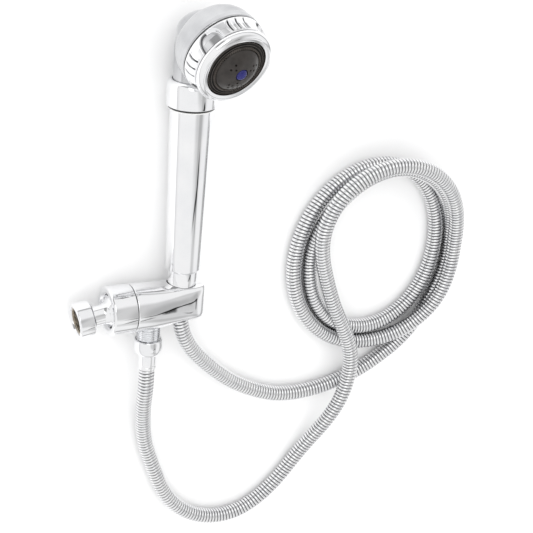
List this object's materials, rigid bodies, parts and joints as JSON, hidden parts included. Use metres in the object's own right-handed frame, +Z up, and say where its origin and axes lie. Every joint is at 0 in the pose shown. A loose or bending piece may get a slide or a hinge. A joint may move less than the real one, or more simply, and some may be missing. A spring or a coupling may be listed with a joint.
{
  "type": "handheld bath sprayer",
  "caption": "Chrome handheld sprayer with a turning spray dial, docked in a swivel bracket for a shower arm, with a coiled metal hose lying beside it.",
  "frame": {"origin": "centre of the bounding box's base, on the surface the sprayer lies on, measured without the hose and the pieces on it", "axes": "+X along the bracket from the wall nut to the cradle, +Y along the handle towards the spray head, +Z up, away from the surface it lies on"},
  "size_m": [0.3902, 0.5184, 0.0923],
  "materials": {
    "polished_chrome": "polished chrome plate",
    "hose_core": "hose lining, stands for the whole hose",
    "stainless_steel": "plain stainless steel",
    "yellow_brass": "machined brass",
    "black_rubber": "matte",
    "white_plastic": "satin",
    "black_plastic": "satin",
    "dark_face_plastic": "satin",
    "blue_plastic": "gloss"
  },
  "bodies": {
    "bracket": {"bracket_body": "polished_chrome", "swivel_collar": "polished_chrome", "ball_seal": "black_rubber", "outlet_nipple": "polished_chrome", "check_valve_seat": "white_plastic", "check_valve_guide": "white_plastic", "check_valve_spring": "stainless_steel", "outlet_hose_nut": "polished_chrome", "outlet_ferrule": "polished_chrome", "outlet_hose_washer": "black_rubber", "hose_outlet_run": "hose_core", "hose_coil": "hose_core", "hose_handset_run": "hose_core"},
    "ball_seat": {"ball_seat": "white_plastic"},
    "inlet_stem": {"ball_stem": "polished_chrome", "inlet_screen": "stainless_steel", "inlet_washer": "black_rubber"},
    "inlet_nut": {"inlet_nut": "polished_chrome"},
    "check_valve_poppet": {"check_valve_poppet": "black_plastic"},
    "hose_end": {"handset_ferrule": "polished_chrome"},
    "handset": {"handle_tube": "polished_chrome", "handle_trim_ring": "white_plastic", "handle_collar": "polished_chrome", "neck_o_ring": "black_rubber", "water_tube": "white_plastic", "tail_fitting": "yellow_brass", "head_shell": "polished_chrome", "valve_plate": "white_plastic", "dial_o_ring": "black_rubber", "detent_spring": "stainless_steel", "hose_cone_nut": "polished_chrome", "handset_hose_washer": "black_rubber"},
    "dial": {"dial_ring": "polished_chrome", "face_bezel": "polished_chrome", "face_ring": "black_rubber", "spray_face": "dark_face_plastic", "face_backing": "black_plastic", "center_cap": "blue_plastic", "center_screw": "stainless_steel"},
    "turbine": {"turbine": "white_plastic"},
    "detent_pin": {"detent_pin": "yellow_brass"}
  },
  "joints": [
    {"name": "ball_spin", "type": "hinge", "parent": "bracket", "child": "ball_seat", "pos_m": [-0.0299, -0.11565, 0.0215], "axis": [1, 0, 0], "continuous": true},
    {"name": "ball_tilt", "type": "hinge", "parent": "ball_seat", "child": "inlet_stem", "pos_m": [-0.0299, -0.11565, 0.0215], "axis": [0, 0, 1], "range_deg": [-26, 10]},
    {"name": "wall_nut_turn", "type": "hinge", "parent": "inlet_stem", "child": "inlet_nut", "pos_m": [-0.06159, -0.1201, 0.0215], "axis": [-0.9903, -0.1392, 0], "continuous": true},
    {"name": "check_valve_lift", "type": "slide", "parent": "bracket", "child": "check_valve_poppet", "axis": [0, -1, 0], "range_m": [0, 0.0015], "stiffness_N_per_m": 150, "springref_m": -0.003},
    {"name": "handset_lift", "type": "slide", "parent": "bracket", "child": "hose_end", "axis": [0, 1, 0], "range_m": [0, 0.045]},
    {"name": "handset_turn", "type": "hinge", "parent": "hose_end", "child": "handset", "pos_m": [0.0281, -0.11565, 0.0215], "axis": [0, 1, 0], "continuous": true},
    {"name": "spray_dial_turn", "type": "hinge", "parent": "handset", "child": "dial", "pos_m": [0.0281, 0.13455, 0.0215], "axis": [0.1604, -0.3827, 0.9098], "range_deg": [-60, 60]},
    {"name": "turbine_spin", "type": "hinge", "parent": "handset", "child": "turbine", "pos_m": [0.0281, 0.13455, 0.0215], "axis": [0.1604, -0.3827, 0.9098], "continuous": true},
    {"name": "detent_press", "type": "slide", "parent": "handset", "child": "detent_pin", "axis": [-0.1604, 0.3827, -0.9098], "range_m": [0, 0.001], "stiffness_N_per_m": 300, "springref_m": -0.002}
  ]
}
